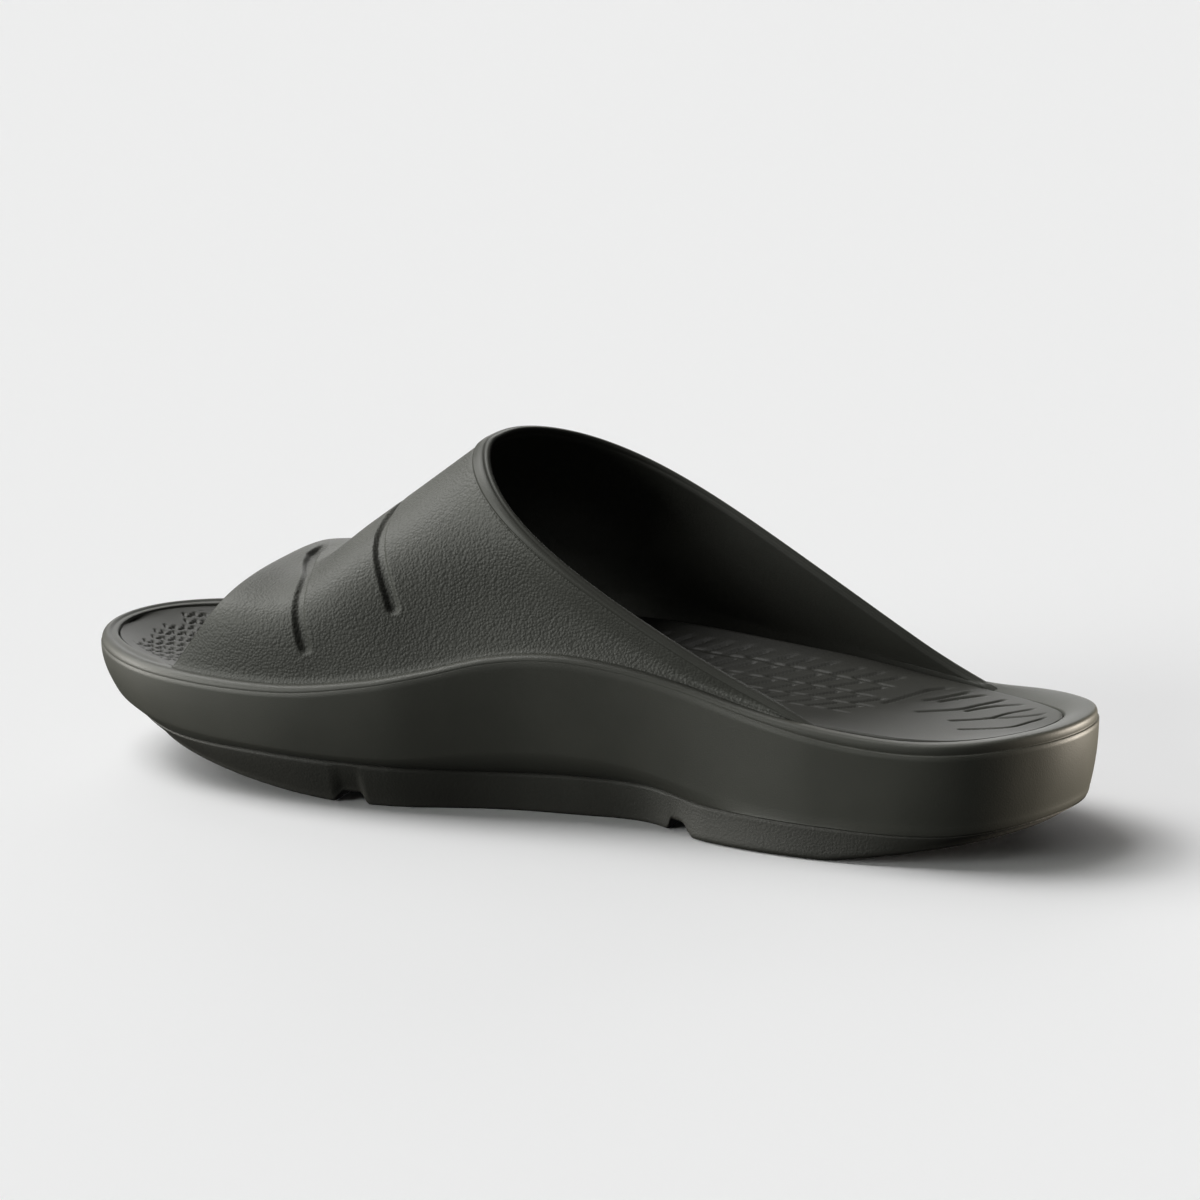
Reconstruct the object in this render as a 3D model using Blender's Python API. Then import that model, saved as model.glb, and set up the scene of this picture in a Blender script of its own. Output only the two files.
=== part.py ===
"""Sport slide sandal for the right foot: outsole, midsole, insole and one moulded upper.

+X points to the toe, +Y to the inner side of the foot and +Z up. The origin is on the floor,
under the middle of the sandal's box.
"""

import math
from collections import namedtuple

import bmesh
import bpy
from mathutils import Vector

MM = 0.001

# Sizes of the whole sandal
LENGTH = 285 * MM
BALL_WIDTH = 103 * MM
RIM_HEIGHT = 33 * MM
INSTEP_HEIGHT = 97 * MM

# Sizes of the outsole
PARTING_HEIGHT = 10 * MM
TOE_SPRING = 17.5 * MM
TOE_SPRING_START = 0.68
TOE_SPRING_POWER = 1.55
HEEL_LIFT = 10.8 * MM
HEEL_LIFT_END = 0.21
HEEL_LIFT_POWER = 1.08
GROUND_ROUND = 1.4 * MM
CHANNEL_WIDTH = 10 * MM
TREAD_DEPTH = 2.0 * MM
TREAD_WIDTH = 3.0 * MM
TREAD_MARGIN = 7.0 * MM
CUT_FOOT = 0.62
CUT_ROOF = 0.42

# Sizes of the midsole and the insole
UNDERCUT = 9 * MM
RIM_WALL = 3.0 * MM
TOE_RIM_WIDTH = 4.6 * MM
TOE_RIM_START = 0.90
HEEL_RIM_WIDTH = 9.0 * MM
HEEL_RIM_END = 0.15
RIM_ROLL = 2.6 * MM
RIM_DROP = 1.4 * MM
MIDSOLE_FLOOR = 7 * MM
DISH_POWER = 2.2

# Sizes of the upper
STRAP_WALL = 3.2 * MM
STRAP_SWELL = 6 * MM
LIP_ROUND = 1.1 * MM
BORDER_WIDTH = 4.5 * MM
BORDER_STEP = 0.5 * MM
BORDER_RAMP = 0.6 * MM
GROOVE_WIDTH = 3.8 * MM
GROOVE_DEPTH = 1.3 * MM

# Clearance between pieces that meet
JOINT_GAP = 0.3 * MM

# How quickly the inner side's heights turn into the outer side's at the two tips
TIP_BLEND = 3

# Numbers of faces
RING_STATIONS = 40
EDGE_SAMPLES = 160
INSOLE_RUNGS = 9
SLOT_STATIONS = 30
STRAP_COLUMNS = 22
STRAP_ROWS = 14
SKIRT_ROWS = 2
ARCH_SAMPLES = 48
GROOVE_STATIONS = 14
GROOVE_SIDES = 8

# Outline from above. Widths are shares of half the ball width.
Outline = namedtuple("Outline", "along medial lateral")
OUTLINE = [
    Outline(0.03, 0.415, 0.375),
    Outline(0.10, 0.665, 0.650),
    Outline(0.22, 0.740, 0.735),
    Outline(0.36, 0.712, 0.770),
    Outline(0.50, 0.785, 0.870),
    Outline(0.64, 0.945, 1.000),
    Outline(0.77, 0.990, 0.985),
    Outline(0.88, 0.890, 0.800),
    Outline(0.955, 0.630, 0.510),
]
HEEL_TIP = 0.0
TOE_TIP = 0.087

# Top of the side wall. Heights are shares of the rim height.
Rim = namedtuple("Rim", "along medial lateral")
RIM = [
    Rim(0.00, 1.10, 1.10),
    Rim(0.12, 1.01, 0.94),
    Rim(0.20, 1.035, 0.97),
    Rim(0.28, 1.13, 1.07),
    Rim(0.36, 1.28, 1.17),
    Rim(0.42, 1.375, 1.26),
    Rim(0.48, 1.415, 1.31),
    Rim(0.54, 1.36, 1.27),
    Rim(0.60, 1.22, 1.18),
    Rim(0.66, 1.10, 1.08),
    Rim(0.74, 1.005, 0.98),
    Rim(0.86, 0.99, 0.90),
    Rim(1.00, 1.005, 1.005),
]

# Side of the sole. Parting is a share of the parting height and belly_height of the rim height.
# Tuck and belly are insets, and batter is added to the tuck at the floor, as shares of the undercut.
Side = namedtuple("Side", "along parting tuck_medial tuck_lateral batter belly belly_height")
SIDE = [
    Side(0.00, 1.30, 0.30, 0.30, 0.40, 0.22, 0.46),
    Side(0.10, 0.88, 0.14, 0.14, 0.15, 0.10, 0.36),
    Side(0.22, 0.88, 0.02, 0.02, -0.12, 0.04, 0.36),
    Side(0.33, 0.96, 0.14, 0.10, -0.12, 0.06, 0.42),
    Side(0.40, 1.10, 0.95, 0.55, 0.15, 0.15, 0.54),
    Side(0.47, 1.15, 1.00, 0.60, 0.15, 0.16, 0.60),
    Side(0.55, 1.12, 0.90, 0.55, 0.20, 0.16, 0.57),
    Side(0.64, 1.20, 0.50, 0.40, 0.30, 0.14, 0.47),
    Side(0.77, 1.30, 0.40, 0.40, 0.45, 0.12, 0.48),
    Side(0.88, 1.34, 0.60, 0.60, 0.45, 0.20, 0.52),
    Side(1.00, 1.97, 1.00, 1.00, 0.45, 0.40, 0.64),
]

# Rolled rim from the side wall to its crest. Both columns are shares of the rim roll.
Roll = namedtuple("Roll", "inset drop")
ROLL = [
    Roll(0.00, 1.00),
    Roll(0.12, 0.50),
    Roll(0.35, 0.16),
    Roll(0.75, 0.00),
]

# Top of the insole. Heights are shares of the rim height.
Footbed = namedtuple("Footbed", "along middle medial lateral")
FOOTBED = [
    Footbed(0.00, 1.00, 1.05, 1.05),
    Footbed(0.12, 0.905, 0.985, 0.925),
    Footbed(0.30, 0.93, 1.09, 1.07),
    Footbed(0.46, 0.93, 1.19, 1.13),
    Footbed(0.64, 0.86, 1.02, 1.02),
    Footbed(0.78, 0.81, 0.93, 0.88),
    Footbed(0.90, 0.84, 0.96, 0.895),
    Footbed(1.00, 0.94, 0.99, 0.99),
]

# Sections of the upper from its front edge to its collar. Along is a share of the length at the crest
# and at the two feet, crest_height of the instep height, crest_shift of half the ball width, and
# swell of the strap swell. Squareness is the exponent of the arch.
Strap = namedtuple(
    "Strap",
    "share crest_along crest_height crest_shift medial_along lateral_along "
    "square_medial square_lateral swell_medial swell_lateral scoop_medial scoop_lateral",
)
STRAP = [
    Strap(0.00, 0.799, 0.594, 0.20, 0.861, 0.838, 3.40, 2.50, 0.42, 0.10, 0.00, 0.00),
    Strap(0.25, 0.751, 0.614, 0.18, 0.720, 0.690, 3.10, 2.30, 0.42, 0.35, 0.00, 0.00),
    Strap(0.50, 0.697, 0.738, 0.17, 0.560, 0.525, 3.00, 2.80, 0.70, 0.75, 0.05, 0.00),
    Strap(0.75, 0.640, 0.869, 0.16, 0.400, 0.340, 2.75, 3.15, 0.85, 1.15, 0.18, -0.05),
    Strap(1.00, 0.586, 0.993, 0.16, 0.251, 0.154, 2.25, 3.18, 0.90, 1.50, 0.40, -0.14),
]

# Grooves over the strap, by share from its front edge to its collar at the ends, halfway down and at
# the crest, and how far each runs down the sides
Groove = namedtuple(
    "Groove",
    "end_medial shoulder_medial crest shoulder_lateral end_lateral reach_medial reach_lateral",
)
GROOVES = [
    Groove(0.280, 0.292, 0.135, 0.100, 0.075, 0.83, 0.22),
    Groove(0.480, 0.565, 0.620, 0.570, 0.470, 0.69, 0.69),
]

# Flex channels across the outsole. Widths are shares of the channel width, and roofs of the parting
# height, from the floor.
Channel = namedtuple("Channel", "along width roof")
CHANNELS = [
    Channel(0.360, 0.90, 0.45),
    Channel(0.680, 1.05, 0.45),
]

# Places of the shallow tread cuts, as shares of the length
TREAD_CUTS = (0.205, 0.265, 0.475, 0.545, 0.615, 0.745, 0.800, 0.855)

FOAM_COLOUR = (0.045, 0.046, 0.040, 1.0)
OUTSOLE_COLOUR = (0.038, 0.039, 0.034, 1.0)
FOAM_ROUGHNESS = 0.62
OUTSOLE_ROUGHNESS = 0.75


def curve_value(points, place):
    """Value at a place of the smooth curve through (place, value) points, level past both ends."""
    if place <= points[0][0]:
        return points[0][1]
    if place >= points[-1][0]:
        return points[-1][1]
    last = len(points) - 1
    index = next(i for i in range(last) if place <= points[i + 1][0])

    def slope(at):
        before, after = max(at - 1, 0), min(at + 1, last)
        return (points[after][1] - points[before][1]) / (points[after][0] - points[before][0])

    (start, low), (end, high) = points[index], points[index + 1]
    span = end - start
    t = (place - start) / span
    return (
        low * (1 + 2 * t) * (1 - t) ** 2
        + high * t * t * (3 - 2 * t)
        + slope(index) * span * t * (1 - t) ** 2
        - slope(index + 1) * span * t * t * (1 - t)
    )


def column(table, name):
    """Points of one column of a table against its first column."""
    return [(row[0], getattr(row, name)) for row in table]


def outline_points(count):
    """Points of the sole's outline from above, from the heel tip along the inner side and back."""
    turns = [(math.acos(1 - 2 * row.along), row.medial) for row in OUTLINE]
    back = [(2 * math.pi - math.acos(1 - 2 * row.along), -row.lateral) for row in reversed(OUTLINE)]
    loop = [(0.0, HEEL_TIP)] + turns + [(math.pi, TOE_TIP)] + back
    full = 2 * math.pi
    closed = [(a - full, y) for a, y in loop[-2:]] + loop + [(a + full, y) for a, y in loop[:3]]
    raw = []
    for step in range(count):
        angle = full * step / count
        raw.append((0.5 * (1 - math.cos(angle)), curve_value(closed, angle)))
    low, high = min(y for _, y in raw), max(y for _, y in raw)
    return [
        Vector(((x - 0.5) * LENGTH, (y - (low + high) / 2) / (high - low) * BALL_WIDTH, 0.0))
        for x, y in raw
    ]


def inset_points(points, inset):
    """A closed outline moved inwards, by one distance or by a function of the share along and side."""
    moved = []
    count = len(points)
    for index, point in enumerate(points):
        tangent = points[(index + 1) % count] - points[index - 1]
        inwards = Vector((tangent.y, -tangent.x, 0.0)).normalized()
        distance = inset(share_along(point.x), side_of(index, count)) if callable(inset) else inset
        moved.append(point + inwards * distance)
    return moved


def share_along(x):
    return x / LENGTH + 0.5


def side_of(index, count):
    """1 on the inner side of the foot, -1 on the outer side, and between them at the two tips."""
    angle = 2 * math.pi * index / count
    return max(-1.0, min(1.0, TIP_BLEND * math.sin(angle)))


def two_sided(table, medial, lateral, scale):
    """Function of share along and side, which turns smoothly from one column to the other."""
    inner, outer = column(table, medial), column(table, lateral)

    def value(along, side):
        weight = (side + 1) / 2
        return scale * (weight * curve_value(inner, along) + (1 - weight) * curve_value(outer, along))

    return value


rim_height = two_sided(RIM, "medial", "lateral", RIM_HEIGHT)
tuck = two_sided(SIDE, "tuck_medial", "tuck_lateral", UNDERCUT)
footbed_edge = two_sided(FOOTBED, "medial", "lateral", RIM_HEIGHT)


def belly(along, _side):
    return UNDERCUT * curve_value(column(SIDE, "belly"), along)


def belly_height(along):
    return RIM_HEIGHT * curve_value(column(SIDE, "belly_height"), along)


def parting_height(along):
    return PARTING_HEIGHT * curve_value(column(SIDE, "parting"), along)


def ground_height(along):
    """Underside of the outsole: level in the middle, with a rocker heel and toe spring."""
    if along > TOE_SPRING_START:
        rise = (along - TOE_SPRING_START) / (1 - TOE_SPRING_START)
        return TOE_SPRING * rise**TOE_SPRING_POWER
    if along < HEEL_LIFT_END:
        rise = (HEEL_LIFT_END - along) / HEEL_LIFT_END
        return HEEL_LIFT * rise**HEEL_LIFT_POWER
    return 0.0


def recess_floor(along):
    return parting_height(along) + MIDSOLE_FLOOR


def recess_inset(along, _side=0):
    """Inset of the recess wall: the rim's wall, a gap and the strap's wall, but set widths at the ends."""
    width = RIM_WALL + JOINT_GAP + STRAP_WALL
    toe = max(0.0, (along - TOE_RIM_START) / (1 - TOE_RIM_START))
    heel = max(0.0, (HEEL_RIM_END - along) / HEEL_RIM_END)
    wider = (HEEL_RIM_WIDTH - width) * heel * (2 - heel)
    return width + (TOE_RIM_WIDTH - width) * toe * toe * (3 - 2 * toe) + wider


def insole_inset(along, side):
    return recess_inset(along, side) + JOINT_GAP


OUTLINE_RING = outline_points(2 * RING_STATIONS)
OUTLINE_FINE = outline_points(2 * EDGE_SAMPLES)
EDGES_BY_INSET = {}


def ring(inset, height):
    """Ring of the sole at an inset, with its height as a function of share along and side."""
    points = inset_points(OUTLINE_RING, inset)
    count = len(points)
    return [
        Vector((p.x, p.y, height(share_along(p.x), side_of(i, count)))) for i, p in enumerate(points)
    ]


def edge_y(x, side, inset):
    """Y of the sole's outline at an inset, at a place along one side."""
    key = (side, inset)
    if key not in EDGES_BY_INSET:
        points = inset_points(OUTLINE_FINE, inset)
        half = points[: EDGE_SAMPLES + 1] if side > 0 else [points[0]] + points[:EDGE_SAMPLES - 1:-1]
        EDGES_BY_INSET[key] = sorted((p.x, p.y) for p in half)
    points = EDGES_BY_INSET[key]
    for (x0, y0), (x1, y1) in zip(points, points[1:]):
        if x <= x1:
            return y0 + (y1 - y0) * (x - x0) / (x1 - x0)
    return points[-1][1]


def add_vertices(mesh, points):
    return [mesh.verts.new(p) for p in points]


def bridge(mesh, first, second):
    """Faces between two closed loops with as many vertices."""
    for i in range(len(first)):
        j = (i + 1) % len(first)
        mesh.faces.new((first[i], first[j], second[j]))
        mesh.faces.new((first[i], second[j], second[i]))


def fill_across(mesh, loop, rungs, height):
    """Fills a ring of the sole with rungs from side to side, at heights by point and share across."""
    half = len(loop) // 2
    rows = [[loop[0]]]
    for i in range(1, half):
        a, b = loop[i], loop[-i]
        row = [a]
        for step in range(1, rungs + 1):
            across = step / (rungs + 1)
            point = a.co.lerp(b.co, across)
            row.append(mesh.verts.new(height(point, across, a.co, b.co)))
        rows.append(row + [b])
    rows.append([loop[half]])
    for before, after in zip(rows, rows[1:]):
        for i in range(max(len(before), len(after)) - 1):
            corners = [before[min(i, len(before) - 1)], before[min(i + 1, len(before) - 1)]]
            corners += [after[min(i + 1, len(after) - 1)], after[min(i, len(after) - 1)]]
            if corners[0] != corners[1]:
                mesh.faces.new((corners[0], corners[1], corners[2]))
            if corners[2] != corners[3]:
                mesh.faces.new((corners[0], corners[2], corners[3]))


def straight(point, _across, _a, _b):
    return point


def finish_object(name, mesh, colour, roughness):
    """Makes an object with its own material from a closed mesh."""
    bmesh.ops.recalc_face_normals(mesh, faces=mesh.faces)
    data = bpy.data.meshes.new(name)
    mesh.to_mesh(data)
    mesh.free()
    data.shade_smooth()
    data.set_sharp_from_angle(angle=math.radians(35))
    thing = bpy.data.objects.new(name, data)
    bpy.context.collection.objects.link(thing)
    material = bpy.data.materials.new(name)
    material.use_nodes = True
    shader = material.node_tree.nodes["Principled BSDF"]
    shader.inputs["Base Color"].default_value = colour
    shader.inputs["Roughness"].default_value = roughness
    shader.inputs["Metallic"].default_value = 0.0
    data.materials.append(material)
    return thing


def cut(thing, cutter):
    """Cuts one solid out of another, which stays as a hidden guide."""
    cutter.hide_render = True
    cutter.display_type = "WIRE"
    modifier = thing.modifiers.new(cutter.name, "BOOLEAN")
    modifier.operation = "DIFFERENCE"
    modifier.solver = "EXACT"
    modifier.object = cutter


def strip_solid(name, sections):
    """Closed solid through sections with as many corners each, used as a cutter."""
    mesh = bmesh.new()
    loops = [add_vertices(mesh, section) for section in sections]
    for first, second in zip(loops, loops[1:]):
        bridge(mesh, first, second)
    mesh.faces.new(loops[0])
    mesh.faces.new(list(reversed(loops[-1])))
    return finish_object(name, mesh, FOAM_COLOUR, FOAM_ROUGHNESS)


# Outsole
def make_outsole():
    def ground_inset(along, side):
        return tuck(along, side) + UNDERCUT * curve_value(column(SIDE, "batter"), along)

    mesh = bmesh.new()
    rings = [
        ring(tuck, lambda along, side: parting_height(along)),
        ring(ground_inset, lambda along, side: ground_height(along) + GROUND_ROUND),
        ring(lambda a, s: ground_inset(a, s) + GROUND_ROUND, lambda along, side: ground_height(along)),
    ]
    loops = [add_vertices(mesh, points) for points in rings]
    for first, second in zip(loops, loops[1:]):
        bridge(mesh, first, second)
    fill_across(mesh, loops[0], 0, straight)
    fill_across(mesh, loops[-1], 0, straight)
    outsole = finish_object("outsole", mesh, OUTSOLE_COLOUR, OUTSOLE_ROUGHNESS)
    for number, channel in enumerate(CHANNELS):
        ends = (-BALL_WIDTH, BALL_WIDTH)
        width, roof = channel.width * CHANNEL_WIDTH, channel.roof * PARTING_HEIGHT
        cut(outsole, crosswise_cutter(f"channel_{number}", channel.along, width, roof, ends))
    for number, along in enumerate(TREAD_CUTS):
        roof = ground_height(along) + TREAD_DEPTH
        inset = UNDERCUT + TREAD_MARGIN
        ends = [edge_y((along - 0.5) * LENGTH, side, inset) for side in (-1, 1)]
        cut(outsole, crosswise_cutter(f"tread_cut_{number}", along, TREAD_WIDTH, roof, ends))


def crosswise_cutter(name, along, width, roof, ends):
    """Bar across the sole between two ends, from under the floor to a roof, wider at its foot."""
    x = (along - 0.5) * LENGTH
    foot, head = CUT_FOOT * width, CUT_ROOF * width
    low = ground_height(along) - PARTING_HEIGHT
    sections = []
    for y in ends:
        corners = ((-foot, low), (foot, low), (head, roof), (-head, roof))
        sections.append([Vector((x + dx, y, z)) for dx, z in corners])
    return strip_solid(name, sections)


# Midsole
def rim_less(drop):
    """Height of the rim less a drop, as a function of share along and side."""
    return lambda along, side: rim_height(along, side) - drop


def make_midsole():
    mesh = bmesh.new()
    rings = [
        ring(tuck, lambda along, side: parting_height(along) + JOINT_GAP),
        ring(belly, lambda along, side: belly_height(along)),
        ring(0.0, lambda a, s: (belly_height(a) + rim_height(a, s) - RIM_ROLL) / 2),
    ]
    rings += [ring(roll.inset * RIM_ROLL, rim_less(roll.drop * RIM_ROLL)) for roll in ROLL]
    rings += [
        ring(recess_inset, rim_less(RIM_DROP)),
        ring(recess_inset, lambda along, side: recess_floor(along)),
    ]
    loops = [add_vertices(mesh, points) for points in rings]
    for first, second in zip(loops, loops[1:]):
        bridge(mesh, first, second)
    fill_across(mesh, loops[0], 0, straight)
    fill_across(mesh, loops[-1], 0, straight)
    midsole = finish_object("midsole", mesh, FOAM_COLOUR, FOAM_ROUGHNESS)
    cut(midsole, strap_slot("slot_medial", 1, column(STRAP, "medial_along")))
    cut(midsole, strap_slot("slot_lateral", -1, column(STRAP, "lateral_along")))


def strap_slot(name, side, feet):
    """Slot inside the rim for one foot of the strap, open to the recess."""
    clear = LIP_ROUND + JOINT_GAP
    front = (feet[0][1] - 0.5) * LENGTH + clear
    back = (feet[-1][1] - 0.5) * LENGTH - clear
    sections = []
    for step in range(SLOT_STATIONS + 1):
        x = back + (front - back) * step / SLOT_STATIONS
        along = share_along(x)
        outer = edge_y(x, side, RIM_WALL)
        inner = edge_y(x, side, recess_inset(along) + STRAP_WALL)
        low = recess_floor(along)
        high = low + INSTEP_HEIGHT
        corners = ((outer, low), (inner, low), (inner, high), (outer, high))
        sections.append([Vector((x, y, z)) for y, z in corners])
    return strip_solid(name, sections)


# Insole
def make_insole():
    middle = column(FOOTBED, "middle")

    def top(point, across, a, b):
        along = share_along(point.x)
        height = RIM_HEIGHT * curve_value(middle, along)
        edge = a.z + (b.z - a.z) * across
        rise = abs(2 * across - 1) ** DISH_POWER
        return Vector((point.x, point.y, height + (edge - height) * rise))

    mesh = bmesh.new()
    rings = [
        ring(insole_inset, lambda along, side: recess_floor(along) + JOINT_GAP),
        ring(insole_inset, footbed_edge),
    ]
    loops = [add_vertices(mesh, points) for points in rings]
    bridge(mesh, loops[0], loops[1])
    fill_across(mesh, loops[0], 0, straight)
    fill_across(mesh, loops[1], INSOLE_RUNGS, top)
    finish_object("insole", mesh, FOAM_COLOUR, FOAM_ROUGHNESS)


# Upper
def even_points(points, count):
    """As many points at equal distances along a polyline, with both its ends."""
    lengths = [0.0]
    for a, b in zip(points, points[1:]):
        lengths.append(lengths[-1] + (b - a).length)
    result = []
    index = 0
    for step in range(count + 1):
        target = lengths[-1] * step / count
        while index < len(points) - 2 and lengths[index + 1] < target:
            index += 1
        part = (target - lengths[index]) / (lengths[index + 1] - lengths[index])
        result.append(points[index].lerp(points[index + 1], part))
    return result


def strap_value(name, share):
    return curve_value(column(STRAP, name), share)


def arch_half(share, side):
    """Points of one half of a strap section, from the rim up to the crest."""
    crest_x = (strap_value("crest_along", share) - 0.5) * LENGTH
    crest_y = strap_value("crest_shift", share) * BALL_WIDTH / 2
    crest_z = strap_value("crest_height", share) * INSTEP_HEIGHT
    along = strap_value("medial_along" if side > 0 else "lateral_along", share)
    foot_x = (along - 0.5) * LENGTH
    foot_y = edge_y(foot_x, side, RIM_WALL + JOINT_GAP)
    foot_z = rim_height(along, side)
    swell = STRAP_SWELL * strap_value("swell_medial" if side > 0 else "swell_lateral", share)
    scoop = strap_value("scoop_medial" if side > 0 else "scoop_lateral", share)
    power = 2 / strap_value("square_medial" if side > 0 else "square_lateral", share)
    points = []
    for step in range(ARCH_SAMPLES + 1):
        turn = math.pi / 2 * step / ARCH_SAMPLES
        rise = math.sin(turn) ** power
        reach = max(math.cos(turn), 0.0) ** power
        run = rise + scoop * rise * (1 - rise)
        points.append(
            Vector((
                foot_x + (crest_x - foot_x) * run,
                crest_y + (foot_y - crest_y) * reach + side * swell * math.sin(2 * turn) ** 2,
                foot_z + (crest_z - foot_z) * rise,
            ))
        )
    return even_points(points, STRAP_ROWS)


def strap_section(share):
    """Points of a whole strap section, from its inner foot over the crest to its outer foot."""
    halves = []
    for side in (1, -1):
        half = arch_half(share, side)
        foot = half[0]
        floor = recess_floor(share_along(foot.x)) + JOINT_GAP
        skirt = [
            Vector((foot.x, foot.y, floor + (foot.z - floor) * step / SKIRT_ROWS))
            for step in range(SKIRT_ROWS)
        ]
        halves.append(skirt + half)
    return halves[0] + list(reversed(halves[1]))[1:]


def strap_grid():
    """Outer points of the strap, by section and row, with its columns for the border."""
    fine = [strap_section(step / (2 * STRAP_COLUMNS)) for step in range(2 * STRAP_COLUMNS + 1)]
    rows = len(fine[0])
    lines = [[section[row] for section in fine] for row in range(rows)]
    grid = []
    for line in lines:
        length = sum((b - a).length for a, b in zip(line, line[1:]))
        ramp = 1 - (BORDER_WIDTH + BORDER_RAMP) / length
        shares = [ramp * step / STRAP_COLUMNS for step in range(STRAP_COLUMNS + 1)]
        shares += [1 - BORDER_WIDTH / length, 1.0]
        grid.append([point_along(line, share) for share in shares])
    return [[line[i] for line in grid] for i in range(len(grid[0]))]


def point_along(line, share):
    """Point at a share of a polyline's length."""
    lengths = [(b - a).length for a, b in zip(line, line[1:])]
    left = share * sum(lengths)
    for a, b, length in zip(line, line[1:], lengths):
        if left <= length:
            return a.lerp(b, left / length)
        left -= length
    return line[-1].copy()


def grid_normals(grid):
    """Outward directions of a grid of points."""
    last_i, last_j = len(grid) - 1, len(grid[0]) - 1
    normals = []
    for i, row in enumerate(grid):
        line = []
        for j in range(len(row)):
            lengthwise = grid[min(i + 1, last_i)][j] - grid[max(i - 1, 0)][j]
            crosswise = grid[i][min(j + 1, last_j)] - grid[i][max(j - 1, 0)]
            line.append(crosswise.cross(lengthwise).normalized())
        normals.append(line)
    middle = last_j // 2
    if normals[0][middle].z < 0:
        normals = [[-n for n in line] for line in normals]
    for line in normals:
        for j in list(range(SKIRT_ROWS)) + list(range(last_j - SKIRT_ROWS + 1, last_j + 1)):
            line[j] = Vector((line[j].x, line[j].y, 0.0)).normalized()
    return normals


def make_upper():
    grid = strap_grid()
    normals = grid_normals(grid)
    border = len(grid) - 2
    outer, inner = [], []
    last = len(grid[0]) - 1
    for i, (row, directions) in enumerate(zip(grid, normals)):
        step = BORDER_STEP if i >= border else 0.0
        heights = [step if SKIRT_ROWS < j < last - SKIRT_ROWS else 0.0 for j in range(len(row))]
        outer.append([p + n * h for p, n, h in zip(row, directions, heights)])
        inner.append([p - n * STRAP_WALL for p, n in zip(row, directions)])
    mesh = bmesh.new()
    front_lip = lip_loops(outer[0], inner[0], grid[0], grid[1])
    back_lip = lip_loops(outer[-1], inner[-1], grid[-1], grid[-2])
    loops = list(outer) + back_lip + list(reversed(inner)) + list(reversed(front_lip))
    lines = [add_vertices(mesh, loop) for loop in loops]
    for first, second in zip(lines, lines[1:] + lines[:1]):
        for j in range(len(first) - 1):
            mesh.faces.new((first[j], first[j + 1], second[j + 1]))
            mesh.faces.new((first[j], second[j + 1], second[j]))
    for j in (0, -1):
        close_foot(mesh, [line[j] for line in lines], len(outer), len(front_lip))
    upper = finish_object("upper", mesh, FOAM_COLOUR, FOAM_ROUGHNESS)
    for number, groove in enumerate(GROOVES):
        cut(upper, groove_cutter(f"groove_{number}", groove))


def lip_loops(outer, inner, edge, inside):
    """Loops of the rounded lip between the outer and inner edge of the strap."""
    loops = []
    for turn in (math.radians(45), 0.0, math.radians(-45)):
        loop = []
        for a, b, at, near in zip(outer, inner, edge, inside):
            outwards = (at - near).normalized()
            middle = (a + b) / 2
            loop.append(middle + (a - b) / 2 * math.sin(turn) + outwards * LIP_ROUND * math.cos(turn))
        loops.append(loop)
    return loops


def close_foot(mesh, foot, columns, lip):
    """Flat underside of one foot of the strap, between its outer and inner line."""
    outer = foot[:columns]
    back = foot[columns : columns + lip]
    inner = list(reversed(foot[columns + lip : 2 * columns + lip]))
    front = foot[2 * columns + lip :]
    for i in range(columns - 1):
        mesh.faces.new((outer[i], outer[i + 1], inner[i + 1]))
        mesh.faces.new((outer[i], inner[i + 1], inner[i]))
    mesh.faces.new([outer[-1]] + back + [inner[-1]])
    mesh.faces.new([inner[0]] + front + [outer[0]])


def groove_cutter(name, groove):
    """Round bar that follows the strap's outer surface across the crest, sunk to the groove's depth."""
    sections = []
    radius = GROOVE_WIDTH / 2
    places = [2 * step / GROOVE_STATIONS - 1 for step in range(GROOVE_STATIONS + 1)]
    path = [groove_point(groove, across) for across in places]
    for index, (point, across) in enumerate(zip(path, places)):
        before, after = path[max(index - 1, 0)], path[min(index + 1, len(path) - 1)]
        direction = (after - before).normalized()
        upwards = groove_normal(groove, across, direction)
        sideways = direction.cross(upwards).normalized()
        upwards = sideways.cross(direction).normalized()
        centre = point + upwards * (radius - GROOVE_DEPTH)
        sections.append([
            centre
            + sideways * radius * math.cos(2 * math.pi * k / GROOVE_SIDES)
            + upwards * radius * math.sin(2 * math.pi * k / GROOVE_SIDES)
            for k in range(GROOVE_SIDES)
        ])
    return strip_solid(name, sections)


def groove_point(groove, across, ahead=0.0):
    """Place on the strap's outer surface, from -1 at a groove's inner end to 1 at its outer end."""
    half_way = 0.5
    shares = [(-1, groove.end_medial), (-half_way, groove.shoulder_medial), (0, groove.crest)]
    shares += [(half_way, groove.shoulder_lateral), (1, groove.end_lateral)]
    side = 1 if across <= 0 else -1
    half = arch_half(curve_value(shares, across) + ahead, side)
    reach = groove.reach_medial if side > 0 else groove.reach_lateral
    return point_along(half, 1 - reach * abs(across))


def groove_normal(groove, across, direction):
    """Outward direction of the strap's surface at a place of a groove."""
    step = 1 / ARCH_SAMPLES
    lengthwise = groove_point(groove, across, step) - groove_point(groove, across, -step)
    normal = lengthwise.cross(direction).normalized()
    return normal if normal.z > 0 else -normal


for leftover in list(bpy.data.objects):
    bpy.data.objects.remove(leftover)

make_outsole()
make_midsole()
make_insole()
make_upper()
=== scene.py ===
"""Sport slide sandal for the right foot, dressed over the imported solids.

+X points to the toe, +Y to the inner side of the foot and +Z up. The origin is on the floor,
under the middle of the sandal's box.
"""

import math
from collections import namedtuple

import bmesh
import bpy
import numpy as np
from mathutils import Matrix, Vector
from mathutils.kdtree import KDTree

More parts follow.
